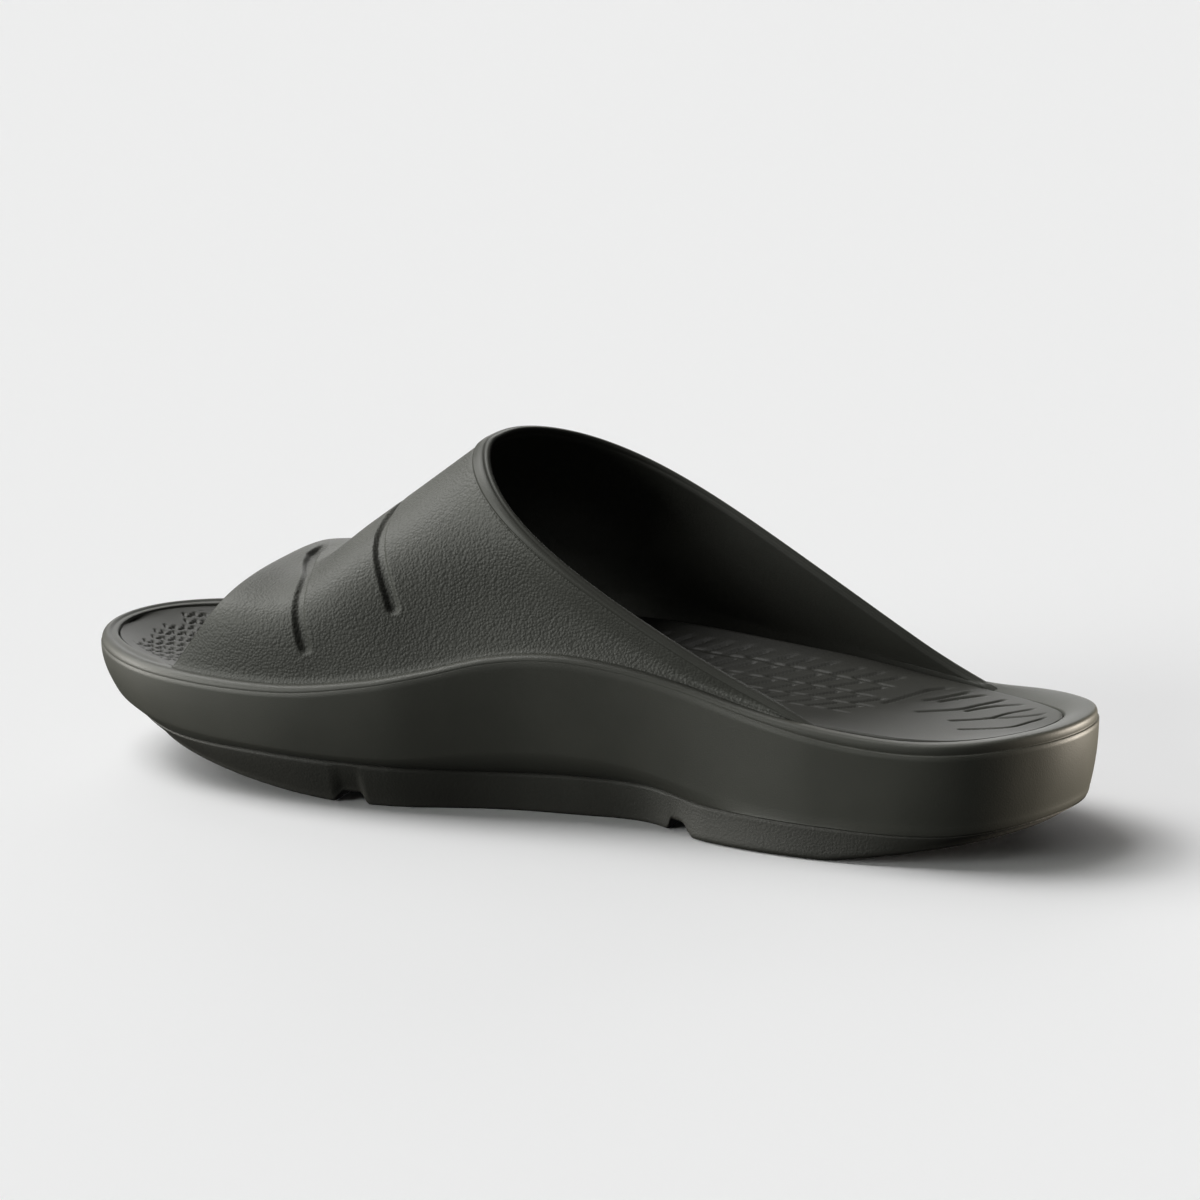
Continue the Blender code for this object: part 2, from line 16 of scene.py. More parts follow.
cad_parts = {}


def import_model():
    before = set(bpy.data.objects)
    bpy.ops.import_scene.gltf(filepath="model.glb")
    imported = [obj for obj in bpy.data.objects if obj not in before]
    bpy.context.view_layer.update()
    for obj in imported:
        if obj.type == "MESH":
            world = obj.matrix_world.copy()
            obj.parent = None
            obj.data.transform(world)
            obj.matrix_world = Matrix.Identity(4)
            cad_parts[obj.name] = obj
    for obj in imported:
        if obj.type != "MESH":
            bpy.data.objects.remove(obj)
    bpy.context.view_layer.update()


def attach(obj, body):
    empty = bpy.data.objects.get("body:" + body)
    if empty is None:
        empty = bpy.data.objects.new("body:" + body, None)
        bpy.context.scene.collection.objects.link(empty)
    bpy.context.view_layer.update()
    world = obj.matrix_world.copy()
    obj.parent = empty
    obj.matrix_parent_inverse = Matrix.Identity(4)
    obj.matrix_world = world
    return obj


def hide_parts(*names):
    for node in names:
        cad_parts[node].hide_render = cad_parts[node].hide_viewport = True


MM = 0.001

# Sizes of the whole sandal
LENGTH = 285 * MM
BALL_WIDTH = 103 * MM
RIM_HEIGHT = 33 * MM
INSTEP_HEIGHT = 97 * MM
JOINT_GAP = 0.3 * MM

# Sizes of the outsole
PARTING_HEIGHT = 10 * MM
TOE_SPRING = 17.5 * MM
TOE_SPRING_START = 0.68
TOE_SPRING_POWER = 1.55
HEEL_LIFT = 10.8 * MM
HEEL_LIFT_END = 0.21
HEEL_LIFT_POWER = 1.08
GROUND_ROUND = 1.4 * MM
PAD_WALL_POWER = 1.4
TREAD_MARGIN = 7 * MM
TREAD_MARGIN_RAMP = 1.5 * MM
TREAD_PITCH = 7 * MM
TREAD_DEPTH = 1.6 * MM
TREAD_WAVE = 2.0 * MM
TREAD_WAVE_SPREAD = 9 * MM
BAR_START = 0.72
BAR_RAMP = 0.2
BAR_FADE = 1 * MM

# Sizes of the midsole and the insole
UNDERCUT = 9 * MM
RIM_WALL = 3.0 * MM
TOE_RIM_WIDTH = 4.6 * MM
TOE_RIM_START = 0.90
HEEL_RIM_WIDTH = 9.0 * MM
HEEL_RIM_END = 0.15
RIM_DROP = 1.4 * MM
MIDSOLE_FLOOR = 7 * MM
BRIM_HEIGHT = 1.0 * MM
BRIM_INSET = 0.4 * MM
DISH_POWER = 2.2

# Sizes of the upper
STRAP_WALL = 3.2 * MM
STRAP_SWELL = 6 * MM
LIP_ROUND = 1.1 * MM
BORDER_WIDTH = 3.4 * MM
BORDER_STEP = 0.5 * MM
BORDER_RAMP = 0.8 * MM
BORDER_MARGIN = 2 * MM
DIP_DISTANCE = 0.9 * MM
DIP_WIDTH = 0.5 * MM
DIP_DEPTH = 0.22 * MM
EDGE_ROUND = 0.9 * MM
EDGE_ROUND_REACH = 2.2 * MM
INNER_ROUND = 0.9 * MM
GROOVE_WIDTH = 3.8 * MM
GROOVE_DEPTH = 1.3 * MM
GROOVE_STEEPNESS = 2.0

# Where a groove fades out, it narrows to this share of its width
GROOVE_TIP = 0.4

# The strap's rear feet end in tails, which reach back along the rim and sink into it. Starts are shares
# from the front edge to the collar, and the rise is a share of the height from foot to crest.
TAIL_REACH = 11 * MM
TAIL_START = 0.80
TAIL_RISE = 0.045
TAIL_SINK = 2.4 * MM
TAIL_SINK_START = 0.93

# Places around the rounded edge of the strap's wall, in degrees
LIP_TURNS = np.linspace(72, -72, 9)

# The strap flares out over the first rows above its feet
STRAP_FLARE = 0.8 * MM
FLARE_ROWS = 1.6

# Outline from above. Widths are shares of half the ball width.
Outline = namedtuple("Outline", "along medial lateral")
OUTLINE = [
    Outline(0.03, 0.415, 0.375),
    Outline(0.10, 0.665, 0.650),
    Outline(0.22, 0.740, 0.735),
    Outline(0.36, 0.712, 0.770),
    Outline(0.50, 0.785, 0.870),
    Outline(0.64, 0.945, 1.000),
    Outline(0.77, 0.990, 0.985),
    Outline(0.88, 0.890, 0.800),
    Outline(0.955, 0.630, 0.510),
]

# Sideways places of the two tips, in the same shares, and how quickly one side turns into the other there
HEEL_TIP = 0.0
TOE_TIP = 0.087
TIP_BLEND = 3

# Top of the side wall. Heights are shares of the rim height.
Rim = namedtuple("Rim", "along medial lateral")
RIM = [
    Rim(0.00, 1.10, 1.10),
    Rim(0.12, 1.01, 0.94),
    Rim(0.20, 1.035, 0.97),
    Rim(0.28, 1.13, 1.07),
    Rim(0.36, 1.28, 1.17),
    Rim(0.42, 1.375, 1.26),
    Rim(0.48, 1.415, 1.31),
    Rim(0.54, 1.36, 1.27),
    Rim(0.60, 1.22, 1.18),
    Rim(0.66, 1.10, 1.08),
    Rim(0.74, 1.005, 0.98),
    Rim(0.86, 0.99, 0.90),
    Rim(1.00, 1.005, 1.005),
]

# Side of the sole. Parting is a share of the parting height and belly_height of the rim height.
# Tuck and belly are insets, and batter is added to the tuck at the floor, as shares of the undercut.
Side = namedtuple("Side", "along parting tuck_medial tuck_lateral batter belly belly_height")
SIDE = [
    Side(0.00, 1.30, 0.30, 0.30, 0.40, 0.22, 0.46),
    Side(0.10, 0.88, 0.14, 0.14, 0.15, 0.10, 0.36),
    Side(0.22, 0.88, 0.02, 0.02, -0.12, 0.04, 0.36),
    Side(0.33, 0.96, 0.14, 0.10, -0.12, 0.06, 0.42),
    Side(0.40, 1.10, 0.95, 0.55, 0.15, 0.15, 0.54),
    Side(0.47, 1.15, 1.00, 0.60, 0.15, 0.16, 0.60),
    Side(0.55, 1.12, 0.90, 0.55, 0.20, 0.16, 0.57),
    Side(0.64, 1.20, 0.50, 0.40, 0.30, 0.14, 0.47),
    Side(0.77, 1.30, 0.40, 0.40, 0.45, 0.12, 0.48),
    Side(0.88, 1.34, 0.60, 0.60, 0.45, 0.20, 0.52),
    Side(1.00, 1.97, 1.00, 1.00, 0.45, 0.40, 0.64),
]

# Top of the insole. Heights are shares of the rim height.
Footbed = namedtuple("Footbed", "along middle medial lateral")
FOOTBED = [
    Footbed(0.00, 1.00, 1.05, 1.05),
    Footbed(0.12, 0.905, 0.985, 0.925),
    Footbed(0.30, 0.93, 1.09, 1.07),
    Footbed(0.46, 0.93, 1.19, 1.13),
    Footbed(0.64, 0.86, 1.02, 1.02),
    Footbed(0.78, 0.81, 0.93, 0.88),
    Footbed(0.90, 0.84, 0.96, 0.895),
    Footbed(1.00, 0.99, 0.99, 0.99),
]

# Sections of the upper from its front edge to its collar. Along is a share of the length at the crest
# and at the two feet, crest_height of the instep height, crest_shift of half the ball width, and
# swell of the strap swell. Square is the exponent of the arch, and scoop bows a section lengthwise.
Strap = namedtuple(
    "Strap",
    "share crest_along crest_height crest_shift medial_along lateral_along "
    "square_medial square_lateral swell_medial swell_lateral scoop_medial scoop_lateral",
)
STRAP = [
    Strap(0.00, 0.799, 0.594, 0.20, 0.861, 0.838, 3.40, 2.50, 0.42, 0.10, 0.00, 0.00),
    Strap(0.25, 0.751, 0.614, 0.18, 0.720, 0.690, 3.10, 2.30, 0.42, 0.35, 0.00, 0.00),
    Strap(0.50, 0.697, 0.738, 0.17, 0.560, 0.525, 3.00, 2.80, 0.70, 0.75, 0.05, 0.00),
    Strap(0.75, 0.640, 0.869, 0.16, 0.400, 0.340, 2.75, 3.15, 0.85, 1.15, 0.18, -0.05),
    Strap(1.00, 0.586, 0.993, 0.16, 0.251, 0.154, 2.25, 3.18, 0.90, 1.50, 0.40, -0.14),
]

# Grooves over the strap, by share from its front edge to its collar at the ends, halfway down and at
# the crest, how far each runs down the sides, and over which share of its run it fades at the outer end
Groove = namedtuple(
    "Groove",
    "end_medial shoulder_medial crest shoulder_lateral end_lateral reach_medial reach_lateral fade",
)
GROOVES = [
    Groove(0.280, 0.292, 0.135, 0.100, 0.075, 0.83, 0.22, 0.34),
    Groove(0.480, 0.565, 0.620, 0.570, 0.470, 0.69, 0.69, 0.03),
]

# Flex channels across the outsole: width and height from the floor, and the lengths of the slopes on
# the toe side and the heel side
Channel = namedtuple("Channel", "along width roof toe_slope heel_slope")
CHANNELS = [
    Channel(0.360, 9 * MM, 3.3 * MM, 1.5 * MM, 4.0 * MM),
    Channel(0.680, 10.5 * MM, 3.3 * MM, 4.0 * MM, 2.5 * MM),
]

# Numbers of stations, rings, rungs, columns and rows
OUTSOLE_STATIONS = 1400
SOLE_STATIONS = 720
INSOLE_STATIONS = 1080
FINE_STATIONS = 2400
WALL_RINGS = 14
BEAD_RINGS = 12
PAD_RINGS = 9
GROUND_RINGS = 5
MIDSOLE_RUNGS = 8
OUTSOLE_RUNGS = 6
TREAD_RUNGS = 30
INSOLE_RUNGS = 148
INSOLE_FLOOR_RUNGS = 4
LINE_SAMPLES = 12
STRAP_SECTIONS = 260
FRONT_COLUMNS = 8
STRAP_COLUMNS = 170
BACK_COLUMNS = 36
BORDER_COLUMNS = 27
INNER_STRIDE = 8
INNER_EDGE_COLUMNS = 11
INNER_EDGE_STRIDE = 2
STRAP_ROWS = 130
SKIRT_ROWS = 4
LIFT_ROWS = 4
ARCH_SAMPLES = 500
GROOVE_STEPS = 160

# The strap's columns are finest between these shares from its front edge to its collar
GROOVE_ZONE = (0.05, 0.70)


def curve(points, at):
    """Values of the smooth curve through (place, value) points, level past both ends."""
    places = np.array([p[0] for p in points], float)
    values = np.array([p[1] for p in points], float)
    slopes = np.empty(len(points))
    slopes[1:-1] = (values[2:] - values[:-2]) / (places[2:] - places[:-2])
    slopes[0] = (values[1] - values[0]) / (places[1] - places[0])
    slopes[-1] = (values[-1] - values[-2]) / (places[-1] - places[-2])
    at = np.asarray(at, float)
    i = np.clip(np.searchsorted(places, at, side="right") - 1, 0, len(points) - 2)
    span = places[i + 1] - places[i]
    t = np.clip((at - places[i]) / span, 0.0, 1.0)
    return (
        values[i] * (1 + 2 * t) * (1 - t) ** 2
        + values[i + 1] * t * t * (3 - 2 * t)
        + slopes[i] * span * t * (1 - t) ** 2
        - slopes[i + 1] * span * t * t * (1 - t)
    )


def column(table, name):
    return [(row[0], getattr(row, name)) for row in table]


def smooth_step(value):
    t = np.clip(value, 0.0, 1.0)
    return t * t * (3 - 2 * t)


def share_along(x):
    return x / LENGTH + 0.5


class Sole:
    """Outline of the sole at a number of stations, and the rings made from it."""

    def __init__(self, count):
        turns = [(math.acos(1 - 2 * row.along), row.medial) for row in OUTLINE]
        full = 2 * math.pi
        back = [(full - math.acos(1 - 2 * row.along), -row.lateral) for row in reversed(OUTLINE)]
        loop = [(0.0, HEEL_TIP)] + turns + [(math.pi, TOE_TIP)] + back
        closed = [(a - full, y) for a, y in loop[-2:]] + loop + [(a + full, y) for a, y in loop[:3]]
        angle = full * np.arange(count) / count
        across = curve(closed, angle)
        low, high = across.min(), across.max()
        self.x = -0.5 * np.cos(angle) * LENGTH
        self.y = (across - (low + high) / 2) / (high - low) * BALL_WIDTH
        plan = np.stack([self.x, self.y])
        tangent = np.roll(plan, -1, axis=1) - np.roll(plan, 1, axis=1)
        tangent /= np.linalg.norm(tangent, axis=0)
        self.inwards = np.stack([tangent[1], -tangent[0]])
        self.weight = (np.clip(TIP_BLEND * np.sin(angle), -1, 1) + 1) / 2
        self.along = share_along(self.x)
        self.count = count

    def ring(self, inset, height):
        """Ring at an inset and a height, each a value or a function of share along and side weight."""
        distance = inset(self.along, self.weight) if callable(inset) else inset
        x = self.x + self.inwards[0] * distance
        y = self.y + self.inwards[1] * distance
        z = height(share_along(x), self.weight) if callable(height) else height
        return np.stack([x, y, np.broadcast_to(z, x.shape)], axis=1)

    def half(self, side, inset):
        """One side of the outline at an inset, as rising x and its y."""
        points = self.ring(inset, 0.0)
        middle = self.count // 2
        if side > 0:
            part = points[: middle + 1]
        else:
            part = np.concatenate([points[:1], points[: middle - 1 : -1]])
        order = np.argsort(part[:, 0])
        return part[order, 0], part[order, 1]


def two_sided(table, medial, lateral, scale):
    """Function of share along and side weight, between two columns of a table."""
    inner, outer = column(table, medial), column(table, lateral)

    def value(along, weight):
        return scale * (weight * curve(inner, along) + (1 - weight) * curve(outer, along))

    return value


rim_height = two_sided(RIM, "medial", "lateral", RIM_HEIGHT)
tuck = two_sided(SIDE, "tuck_medial", "tuck_lateral", UNDERCUT)
footbed_edge = two_sided(FOOTBED, "medial", "lateral", RIM_HEIGHT)


def belly(along, _weight=None):
    return UNDERCUT * curve(column(SIDE, "belly"), along)


def belly_height(along):
    return RIM_HEIGHT * curve(column(SIDE, "belly_height"), along)


def parting_height(along):
    return PARTING_HEIGHT * curve(column(SIDE, "parting"), along)


def ground_height(along):
    """Underside of the outsole: level in the middle, with a rocker heel and toe spring."""
    toe = np.clip((along - TOE_SPRING_START) / (1 - TOE_SPRING_START), 0, None)
    heel = np.clip((HEEL_LIFT_END - along) / HEEL_LIFT_END, 0, None)
    return TOE_SPRING * toe**TOE_SPRING_POWER + HEEL_LIFT * heel**HEEL_LIFT_POWER


def recess_floor(along):
    return parting_height(along) + MIDSOLE_FLOOR


def recess_inset(along, _weight=None):
    width = RIM_WALL + JOINT_GAP + STRAP_WALL
    toe = np.clip((along - TOE_RIM_START) / (1 - TOE_RIM_START), 0, 1)
    heel = np.clip((HEEL_RIM_END - along) / HEEL_RIM_END, 0, 1)
    toe_change = (TOE_RIM_WIDTH - width) * smooth_step(toe)
    heel_change = (HEEL_RIM_WIDTH - width) * heel * (2 - heel)
    return width + toe_change + heel_change


def make_object(name, points, faces, materials, indices):
    """Smooth object from points and faces, with its materials and the number of each face's one."""
    data = bpy.data.meshes.new(name)
    data.from_pydata([tuple(p) for p in points], [], [tuple(f) for f in faces])
    data.validate()
    for material in materials:
        data.materials.append(material)
    data.polygons.foreach_set("material_index", indices)
    data.shade_smooth()
    thing = bpy.data.objects.new(name, data)
    bpy.context.scene.collection.objects.link(thing)
    return thing


class Shell:
    """Points and faces of one piece."""

    def __init__(self):
        self.points = []
        self.faces = []
        self.indices = []
        self.size = 0

    def add(self, points):
        """Adds points and returns their numbers."""
        points = np.asarray(points, float).reshape(-1, 3)
        numbers = np.arange(self.size, self.size + len(points))
        self.points.append(points)
        self.size += len(points)
        return numbers

    def rows(self, rows, closed=True, index=0):
        """Faces between rows of point numbers, from one row to the next."""
        for first, second in zip(rows, rows[1:]):
            if closed:
                a, b = np.append(first, first[0]), np.append(second, second[0])
            else:
                a, b = first, second
            faces = np.stack([a[:-1], a[1:], b[1:], b[:-1]], axis=1)
            self.faces.extend(faces.tolist())
            self.indices.extend([index] * len(faces))

    def span(self, ring, rungs, height, index=0, flip=False):
        """Fills a closed ring from side to side, with heights by point, share across and both ends."""
        points = np.concatenate(self.points)[ring]
        half = len(ring) // 2
        a, b = points[1:half], points[:half:-1]
        shares = np.arange(1, rungs + 1) / (rungs + 1)
        inner = a[:, None, :] + (b - a)[:, None, :] * shares[None, :, None]
        inner[..., 2] = height(inner, shares[None, :], a[:, None, 2], b[:, None, 2])
        numbers = self.add(inner).reshape(half - 1, rungs)
        grid = np.concatenate([ring[1:half, None], numbers, ring[:half:-1, None]], axis=1)
        faces = []
        for first, second in zip(grid, grid[1:]):
            faces.append(np.stack([first[:-1], first[1:], second[1:], second[:-1]], axis=1))
        faces = np.concatenate(faces).tolist()
        for tip, row in ((ring[0], grid[0]), (ring[half], grid[-1])):
            fan = np.stack([np.full(len(row) - 1, tip), row[:-1], row[1:]], axis=1)
            faces += fan[:, [2, 1, 0] if tip == ring[0] else [1, 2, 0]].tolist()
        if flip:
            faces = [face[::-1] for face in faces]
        self.faces.extend(faces)
        self.indices.extend([index] * len(faces))
        return numbers

    def build(self, name, materials):
        thing = make_object(name, np.concatenate(self.points), self.faces, materials, self.indices)
        outwards(thing)
        return thing


def outwards(thing):
    """Turns every face of a closed mesh out."""
    mesh = bmesh.new()
    mesh.from_mesh(thing.data)
    bmesh.ops.recalc_face_normals(mesh, faces=mesh.faces)
    mesh.to_mesh(thing.data)
    mesh.free()


def straight(_points, share, start, end):
    """Heights of a span on a straight line between its two ends."""
    return start + (end - start) * share


# Materials
BLOTCH_SCALE = 45
BLOTCH_DETAIL = 4
BLOTCH_RANGE = (0.3, 0.7)
SHEEN_SPREAD = 0.06
TOOTH_DETAIL = 3
WARP_SCALE = 0.5
WARP_DETAIL = 1
WARP_PULL = 0.9
CELL_SMOOTHNESS = 0.25


def node(tree, kind, **values):
    made = tree.nodes.new(kind)
    for key, value in values.items():
        setattr(made, key, value)
    return made


def noise(tree, place, scale, detail):
    made = node(tree, "ShaderNodeTexNoise")
    made.inputs["Scale"].default_value = scale
    made.inputs["Detail"].default_value = detail
    tree.links.new(place.outputs["Object"], made.inputs["Vector"])
    return made


def ranged(tree, value, low, high, start=0.0, end=1.0):
    """Value from low to high, as another value goes from start to end."""
    made = node(tree, "ShaderNodeMapRange")
    made.inputs["From Min"].default_value = start
    made.inputs["From Max"].default_value = end
    made.inputs["To Min"].default_value = low
    made.inputs["To Max"].default_value = high
    tree.links.new(value, made.inputs["Value"])
    return made.outputs["Result"]


def bump(tree, height, depth, normal=None, invert=False):
    made = node(tree, "ShaderNodeBump", invert=invert)
    made.inputs["Strength"].default_value = 1.0
    made.inputs["Distance"].default_value = depth
    tree.links.new(height, made.inputs["Height"])
    if normal is not None:
        tree.links.new(normal, made.inputs["Normal"])
    return made.outputs["Normal"]


def pebbles(tree, place, scale):
    """Distance from the middles of warped cells."""
    warp = noise(tree, place, scale * WARP_SCALE, WARP_DETAIL)
    pull = node(tree, "ShaderNodeVectorMath", operation="MULTIPLY_ADD")
    pull.inputs[1].default_value = (WARP_PULL / scale,) * 3
    tree.links.new(warp.outputs["Color"], pull.inputs[0])
    tree.links.new(place.outputs["Object"], pull.inputs[2])
    cells = node(tree, "ShaderNodeTexVoronoi", feature="SMOOTH_F1")
    cells.inputs["Scale"].default_value = scale
    cells.inputs["Smoothness"].default_value = CELL_SMOOTHNESS
    tree.links.new(pull.outputs["Vector"], cells.inputs["Vector"])
    return cells.outputs["Distance"]


def foam(name, colour, roughness, tooth, grain=None, mottle=0.12):
    """Moulded foam with a fine tooth and maybe a leather-like grain, each a scale and a depth."""
    material = bpy.data.materials.new(name)
    material.use_nodes = True
    tree = material.node_tree
    shader = tree.nodes["Principled BSDF"]
    place = node(tree, "ShaderNodeTexCoord")
    blotch = noise(tree, place, BLOTCH_SCALE, BLOTCH_DETAIL).outputs["Fac"]
    shade = ranged(tree, blotch, 1 - mottle, 1 + mottle, *BLOTCH_RANGE)
    tint = node(tree, "ShaderNodeVectorMath", operation="SCALE")
    tint.inputs[0].default_value = colour
    tree.links.new(shade, tint.inputs["Scale"])
    tree.links.new(tint.outputs["Vector"], shader.inputs["Base Color"])
    sheen = ranged(tree, blotch, roughness - SHEEN_SPREAD, roughness + SHEEN_SPREAD)
    tree.links.new(sheen, shader.inputs["Roughness"])
    scale, depth = tooth
    normal = bump(tree, noise(tree, place, scale, TOOTH_DETAIL).outputs["Fac"], depth)
    if grain:
        scale, depth = grain
        normal = bump(tree, pebbles(tree, place, scale), depth, normal, invert=True)
    tree.links.new(normal, shader.inputs["Normal"])
    return material


PEBBLED = foam(
    "pebbled_foam", (0.078, 0.079, 0.070), 0.55, tooth=(3400, 0.02 * MM), grain=(1350, 0.15 * MM)
)
SMOOTH = foam("smooth_foam", (0.052, 0.053, 0.045), 0.50, tooth=(2600, 0.04 * MM), mottle=0.08)
FOOT = foam("footbed_foam", (0.043, 0.043, 0.037), 0.52, tooth=(2200, 0.04 * MM))
TREAD = foam(
    "outsole_foam", (0.031, 0.031, 0.026), 0.62, tooth=(3200, 0.03 * MM), grain=(1500, 0.06 * MM)
)


# Midsole

# Crease under the bead of the rim: how far under the crest, how deep, and how square the bead is
Crease = namedtuple("Crease", "along drop step square")
CREASE = [
    Crease(0.00, 3.0 * MM, 0.50 * MM, 3.2),
    Crease(0.12, 2.9 * MM, 0.50 * MM, 3.2),
    Crease(0.20, 2.8 * MM, 0.40 * MM, 3.0),
    Crease(0.28, 2.2 * MM, 0.28 * MM, 2.4),
    Crease(0.34, 1.9 * MM, 0.12 * MM, 2.0),
    Crease(0.62, 1.8 * MM, 0.10 * MM, 2.0),
    Crease(0.72, 2.1 * MM, 0.18 * MM, 2.0),
    Crease(0.85, 2.5 * MM, 0.22 * MM, 2.0),
    Crease(1.00, 2.7 * MM, 0.24 * MM, 2.2),
]

# The crease from its lower lip to the foot of the bead, as shares of its step and of its drop
BEAD_FOOT = (0.85, 0.82)
CREASE_PROFILE = [(0.3, 0.97), (0.85, 0.93), (1.0, 0.88), BEAD_FOOT]
BEAD_WIDTH = 1.9 * MM

# The wall: how square its lower curve is by share along, and how its upper part eases out to the rim
SIDE_SQUARE = [
    (0.00, 1.6), (0.20, 1.8), (0.40, 1.5), (0.60, 1.6), (0.80, 1.3), (0.90, 1.08), (1.00, 1.05),
]
WALL_EASE_POWER = 2.2

# The ledge from the bead to the recess, in shares of its width. In front of the strap the toe is bare:
# the ledge drops less there and has a shallow valley.
LEDGE_SHARES = (0.12, 0.24, 0.36, 0.48, 0.60, 0.72, 0.84, 0.93, 1.0)
BARE_TOE = (0.862, 0.895)
TOE_DROP_CUT = 0.75
TOE_VALLEY = 0.25 * MM
TOE_VALLEY_END = 0.8

# Where the strap's feet start and end along the sole, over which share that blends, and how far the
# recess wall stays behind them
STRAP_FEET = (0.28, 0.81, 0.04)
STRAP_CLEARANCE = 1.0 * MM


def crease_value(name, along):
    return curve(column(CREASE, name), along)


def side_power(along):
    """Exponent of the curve between the side wall and the parting line."""
    return 2 / curve(SIDE_SQUARE, along)


def bead_power(along):
    return 2 / crease_value("square", along)


def bead_inset(along):
    return BEAD_FOOT[0] * crease_value("step", along) + BEAD_WIDTH


def bare_toe(along):
    """Share from 0 to 1 over the start of the rim in front of the strap."""
    start, end = BARE_TOE
    return smooth_step((along - start) / (end - start))


def hollow_inset(along, _weight=None):
    """Inset of the recess, whose wall stays behind the feet of the strap."""
    start, end, blend = STRAP_FEET
    behind = smooth_step((along - start) / blend) * smooth_step((end - along) / blend)
    return recess_inset(along) - STRAP_CLEARANCE * behind


def wall_rings(sole):
    """Rings of the side wall, from the parting line over the belly to under the crease."""
    rings = []
    for turn in np.linspace(0, math.pi / 2, WALL_RINGS):
        rings.append(sole.ring(
            lambda a, w: tuck(a, w) + (belly(a) - tuck(a, w)) * math.sin(turn) ** side_power(a),
            lambda a, w: parting_height(a) + JOINT_GAP
            + (belly_height(a) - parting_height(a) - JOINT_GAP) * (1 - math.cos(turn) ** side_power(a)),
        ))
    for part in np.linspace(0, 1, WALL_RINGS)[1:]:
        ease = 1 - (1 - part) ** WALL_EASE_POWER
        rings.append(sole.ring(
            lambda a, w: belly(a) * (1 - ease),
            lambda a, w: belly_height(a) * (1 - part)
            + (rim_height(a, w) - crease_value("drop", a)) * part,
        ))
    return rings


def rim_rings(sole):
    """Rings of the rim, from the crease over the bead and the ledge to the recess."""
    rings = []
    for depth, share in CREASE_PROFILE:
        rings.append(sole.ring(
            lambda a, w: depth * crease_value("step", a),
            lambda a, w: rim_height(a, w) - crease_value("drop", a) * share,
        ))
    for turn in np.linspace(0, math.pi / 2, BEAD_RINGS + 1)[1:]:
        rings.append(sole.ring(
            lambda a, w: bead_inset(a) - BEAD_WIDTH * math.cos(turn) ** bead_power(a),
            lambda a, w: rim_height(a, w)
            - BEAD_FOOT[1] * crease_value("drop", a) * (1 - math.sin(turn) ** bead_power(a)),
        ))
    for share in LEDGE_SHARES:
        valley = math.sin(math.pi * min(share / TOE_VALLEY_END, 1.0)) ** 2
        rings.append(sole.ring(
            lambda a, w: bead_inset(a) + (hollow_inset(a) - bead_inset(a)) * share,
            lambda a, w: rim_height(a, w)
            - RIM_DROP * (1 - TOE_DROP_CUT * bare_toe(a)) * share**2
            - TOE_VALLEY * bare_toe(a) * valley,
        ))
    return rings


def make_midsole():
    sole = Sole(SOLE_STATIONS)
    shell = Shell()
    rings = wall_rings(sole) + rim_rings(sole)
    rings.append(sole.ring(hollow_inset, lambda a, w: recess_floor(a)))
    numbers = [shell.add(ring) for ring in rings]
    shell.rows(numbers)
    shell.span(numbers[0], MIDSOLE_RUNGS, straight, flip=True)
    shell.span(numbers[-1], MIDSOLE_RUNGS, straight)
    thing = shell.build("midsole_shell", [SMOOTH])
    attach(thing, "root")
    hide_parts("midsole")
    return thing


# Outsole
def channel_height(x):
    """How far the flex channels cut up into the underside, as a height from the floor."""
    height = np.zeros_like(x)
    for channel in CHANNELS:
        middle = (channel.along - 0.5) * LENGTH
        toe = middle + channel.width / 2
        heel = middle - channel.width / 2
        rise = smooth_step((toe - x) / channel.toe_slope) * smooth_step((x - heel) / channel.heel_slope)
        height = np.maximum(height, channel.roof * rise)
    return height


def underside(along):
    ground = ground_height(along)
    return np.maximum(ground, channel_height((along - 0.5) * LENGTH))


def ground_inset(along, weight):
    return tuck(along, weight) + UNDERCUT * curve(column(SIDE, "batter"), along)


def make_outsole():
    sole = Sole(OUTSOLE_STATIONS)
    shell = Shell()
    rings = []
    for part in np.linspace(0, 1, PAD_RINGS):
        rings.append(sole.ring(
            lambda a, w: tuck(a, w) + (ground_inset(a, w) - tuck(a, w)) * part**PAD_WALL_POWER,
            lambda a, w: parting_height(a) * (1 - part) + (underside(a) + GROUND_ROUND) * part,
        ))
    for turn in np.linspace(0, math.pi / 2, GROUND_RINGS + 1)[1:]:
        rings.append(sole.ring(
            lambda a, w: ground_inset(a, w) + GROUND_ROUND * (1 - math.cos(turn)),
            lambda a, w: underside(a) + GROUND_ROUND * (1 - math.sin(turn)),
        ))
    numbers = [shell.add(ring) for ring in rings]
    shell.rows(numbers)
    shell.span(numbers[0], OUTSOLE_RUNGS, straight)
    shell.span(numbers[-1], TREAD_RUNGS, tread, flip=True)
    thing = shell.build("outsole_shell", [TREAD])
    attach(thing, "root")
    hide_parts("outsole")
    return thing


def tread(points, share, start, end):
    """Underside with shallow wavy bars, which stop short of the edges."""
    x, y = points[..., 0], points[..., 1]
    wave = x + TREAD_WAVE * np.sin(y / TREAD_WAVE_SPREAD)
    bar = 0.5 + 0.5 * np.cos(2 * math.pi * wave / TREAD_PITCH)
    margin = np.minimum(share, 1 - share) * np.abs(points[:, :1, 1] - points[:, -1:, 1])
    inside = smooth_step((margin - TREAD_MARGIN) / TREAD_MARGIN_RAMP)
    clear = 1 - smooth_step(channel_height(x) / BAR_FADE)
    cut = TREAD_DEPTH * smooth_step((bar - BAR_START) / BAR_RAMP) * inside * clear
    return straight(points, share, start, end) + cut


# Insole
def insole_inset(along, _weight=None):
    return recess_inset(along) + JOINT_GAP


